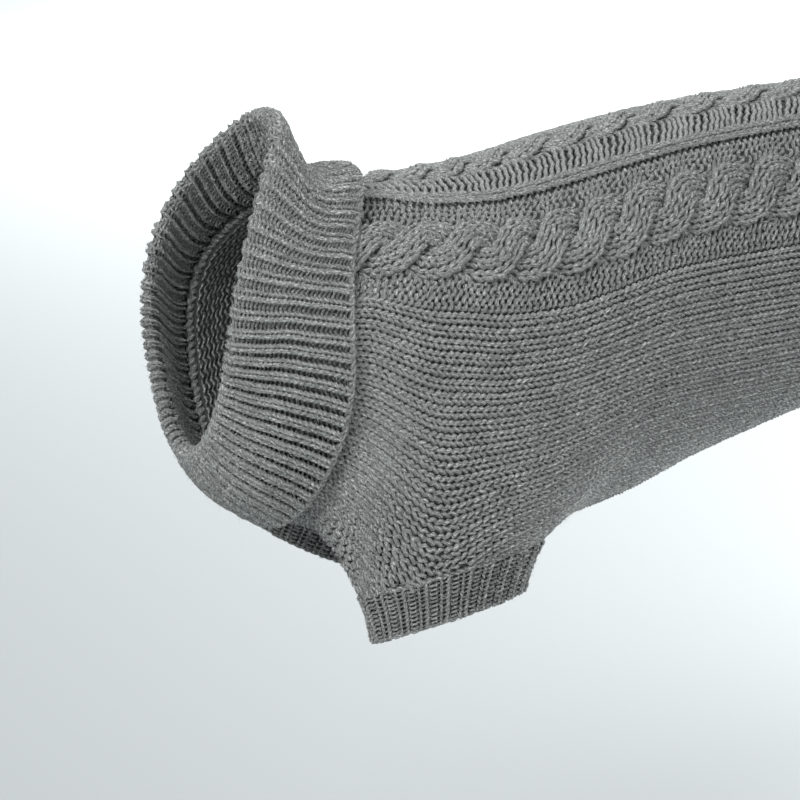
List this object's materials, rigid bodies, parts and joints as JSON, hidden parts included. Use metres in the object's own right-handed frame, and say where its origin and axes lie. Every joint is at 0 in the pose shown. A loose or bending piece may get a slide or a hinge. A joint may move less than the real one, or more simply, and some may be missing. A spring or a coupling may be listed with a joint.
{
  "type": "knitted dog pullover",
  "caption": "Cable-knit dog pullover worn open, with a folded ribbed roll collar, short ribbed foreleg cuffs, a plain belly strip and a ribbed hem.",
  "frame": {"origin": "on the inside of the back at the withers, where the garment hangs on the wearer", "axes": "the wearer faces -X and its back is +Z, so -Y is the wearer's left; X runs along the back"},
  "size_m": [0.4327, 0.1416, 0.202],
  "materials": {
    "body_knit": "heather grey yarn, stocking stitch, reverse stocking stitch and rope cables, matt with a soft fuzz",
    "rib_knit": "heather grey yarn in one by one rib, matt with a soft fuzz"
  },
  "bodies": {
    "root": {"back_panel": "body_knit", "belly_panel": "body_knit", "collar": "rib_knit", "left_cuff": "rib_knit", "right_cuff": "rib_knit", "hem_band": "rib_knit"}
  },
  "joints": []
}
